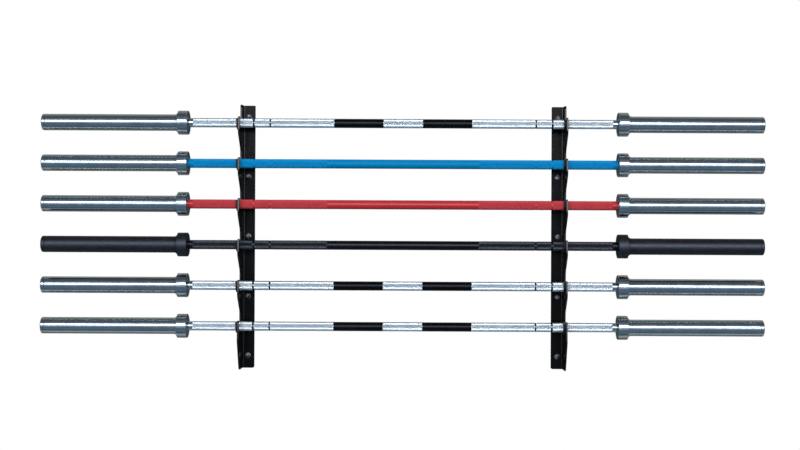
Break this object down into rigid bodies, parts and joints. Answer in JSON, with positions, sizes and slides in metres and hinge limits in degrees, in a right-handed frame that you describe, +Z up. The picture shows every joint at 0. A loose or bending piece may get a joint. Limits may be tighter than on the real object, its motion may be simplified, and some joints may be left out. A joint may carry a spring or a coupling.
{
  "type": "barbell storage rack",
  "caption": "Wall-mounted steel uprights with plastic-lined hooks that store barbells one above another; each barbell lifts out of its hooks and its sleeves turn.",
  "frame": {"origin": "on the wall plane, midway between the uprights, level with their bottom ends", "axes": "+X along the bars to the right as seen from the front, +Y into the wall, +Z up"},
  "size_m": [2.2, 0.1562, 0.813],
  "materials": {
    "powder_coat": "black powder coat, semi-gloss",
    "liner_plastic": "black moulded plastic",
    "black_zinc": "black zinc plate on steel fasteners, satin",
    "hard_chrome": "hard chrome, bright",
    "blue_coat": "blue baked coating over knurling",
    "red_coat": "red baked coating over knurling",
    "black_oxide": "black phosphate and oxide, satin"
  },
  "bodies": {
    "rack": {"left_upright": "powder_coat", "hook_liner_left_1": "liner_plastic", "hook_liner_left_2": "liner_plastic", "hook_liner_left_3": "liner_plastic", "hook_liner_left_4": "liner_plastic", "hook_liner_left_5": "liner_plastic", "hook_liner_left_6": "liner_plastic", "wall_bolt_left_1": "black_zinc", "wall_bolt_left_2": "black_zinc", "wall_bolt_left_3": "black_zinc", "wall_bolt_left_4": "black_zinc", "wall_bolt_left_5": "black_zinc", "right_upright": "powder_coat", "hook_liner_right_1": "liner_plastic", "hook_liner_right_2": "liner_plastic", "hook_liner_right_3": "liner_plastic", "hook_liner_right_4": "liner_plastic", "hook_liner_right_5": "liner_plastic", "hook_liner_right_6": "liner_plastic", "wall_bolt_right_1": "black_zinc", "wall_bolt_right_2": "black_zinc", "wall_bolt_right_3": "black_zinc", "wall_bolt_right_4": "black_zinc", "wall_bolt_right_5": "black_zinc"},
    "bar_1": {"bar_1_shaft": "hard_chrome"},
    "bar_1_left_end": {"bar_1_sleeve_left": "hard_chrome", "bar_1_end_cap_left": "hard_chrome"},
    "bar_1_right_end": {"bar_1_sleeve_right": "hard_chrome", "bar_1_end_cap_right": "hard_chrome"},
    "bar_2": {"bar_2_shaft": "blue_coat"},
    "bar_2_left_end": {"bar_2_sleeve_left": "hard_chrome", "bar_2_end_cap_left": "hard_chrome"},
    "bar_2_right_end": {"bar_2_sleeve_right": "hard_chrome", "bar_2_end_cap_right": "hard_chrome"},
    "bar_3": {"bar_3_shaft": "red_coat"},
    "bar_3_left_end": {"bar_3_sleeve_left": "hard_chrome", "bar_3_end_cap_left": "hard_chrome"},
    "bar_3_right_end": {"bar_3_sleeve_right": "hard_chrome", "bar_3_end_cap_right": "hard_chrome"},
    "bar_4": {"bar_4_shaft": "black_oxide"},
    "bar_4_left_end": {"bar_4_sleeve_left": "black_oxide", "bar_4_end_cap_left": "black_oxide"},
    "bar_4_right_end": {"bar_4_sleeve_right": "black_oxide", "bar_4_end_cap_right": "black_oxide"},
    "bar_5": {"bar_5_shaft": "hard_chrome"},
    "bar_5_left_end": {"bar_5_sleeve_left": "hard_chrome", "bar_5_end_cap_left": "hard_chrome"},
    "bar_5_right_end": {"bar_5_sleeve_right": "hard_chrome", "bar_5_end_cap_right": "hard_chrome"},
    "bar_6": {"bar_6_shaft": "hard_chrome"},
    "bar_6_left_end": {"bar_6_sleeve_left": "hard_chrome", "bar_6_end_cap_left": "hard_chrome"},
    "bar_6_right_end": {"bar_6_sleeve_right": "hard_chrome", "bar_6_end_cap_right": "hard_chrome"}
  },
  "joints": [
    {"name": "bar_1_lift", "type": "slide", "parent": "rack", "child": "bar_1", "axis": [0, 0, 1], "range_m": [0, 0.038]},
    {"name": "bar_1_left_spin", "type": "hinge", "parent": "bar_1", "child": "bar_1_left_end", "pos_m": [-0.8775, -0.065, 0.754], "axis": [1, 0, 0], "continuous": true},
    {"name": "bar_1_right_spin", "type": "hinge", "parent": "bar_1", "child": "bar_1_right_end", "pos_m": [0.8775, -0.065, 0.754], "axis": [1, 0, 0], "continuous": true},
    {"name": "bar_2_lift", "type": "slide", "parent": "rack", "child": "bar_2", "axis": [0, 0, 1], "range_m": [0, 0.038]},
    {"name": "bar_2_left_spin", "type": "hinge", "parent": "bar_2", "child": "bar_2_left_end", "pos_m": [-0.8775, -0.065, 0.63], "axis": [1, 0, 0], "continuous": true},
    {"name": "bar_2_right_spin", "type": "hinge", "parent": "bar_2", "child": "bar_2_right_end", "pos_m": [0.8775, -0.065, 0.63], "axis": [1, 0, 0], "continuous": true},
    {"name": "bar_3_lift", "type": "slide", "parent": "rack", "child": "bar_3", "axis": [0, 0, 1], "range_m": [0, 0.038]},
    {"name": "bar_3_left_spin", "type": "hinge", "parent": "bar_3", "child": "bar_3_left_end", "pos_m": [-0.8775, -0.065, 0.506], "axis": [1, 0, 0], "continuous": true},
    {"name": "bar_3_right_spin", "type": "hinge", "parent": "bar_3", "child": "bar_3_right_end", "pos_m": [0.8775, -0.065, 0.506], "axis": [1, 0, 0], "continuous": true},
    {"name": "bar_4_lift", "type": "slide", "parent": "rack", "child": "bar_4", "axis": [0, 0, 1], "range_m": [0, 0.038]},
    {"name": "bar_4_left_spin", "type": "hinge", "parent": "bar_4", "child": "bar_4_left_end", "pos_m": [-0.8775, -0.065, 0.382], "axis": [1, 0, 0], "continuous": true},
    {"name": "bar_4_right_spin", "type": "hinge", "parent": "bar_4", "child": "bar_4_right_end", "pos_m": [0.8775, -0.065, 0.382], "axis": [1, 0, 0], "continuous": true},
    {"name": "bar_5_lift", "type": "slide", "parent": "rack", "child": "bar_5", "axis": [0, 0, 1], "range_m": [0, 0.038]},
    {"name": "bar_5_left_spin", "type": "hinge", "parent": "bar_5", "child": "bar_5_left_end", "pos_m": [-0.8775, -0.065, 0.258], "axis": [1, 0, 0], "continuous": true},
    {"name": "bar_5_right_spin", "type": "hinge", "parent": "bar_5", "child": "bar_5_right_end", "pos_m": [0.8775, -0.065, 0.258], "axis": [1, 0, 0], "continuous": true},
    {"name": "bar_6_lift", "type": "slide", "parent": "rack", "child": "bar_6", "axis": [0, 0, 1], "range_m": [0, 0.038]},
    {"name": "bar_6_left_spin", "type": "hinge", "parent": "bar_6", "child": "bar_6_left_end", "pos_m": [-0.8775, -0.065, 0.134], "axis": [1, 0, 0], "continuous": true},
    {"name": "bar_6_right_spin", "type": "hinge", "parent": "bar_6", "child": "bar_6_right_end", "pos_m": [0.8775, -0.065, 0.134], "axis": [1, 0, 0], "continuous": true}
  ]
}
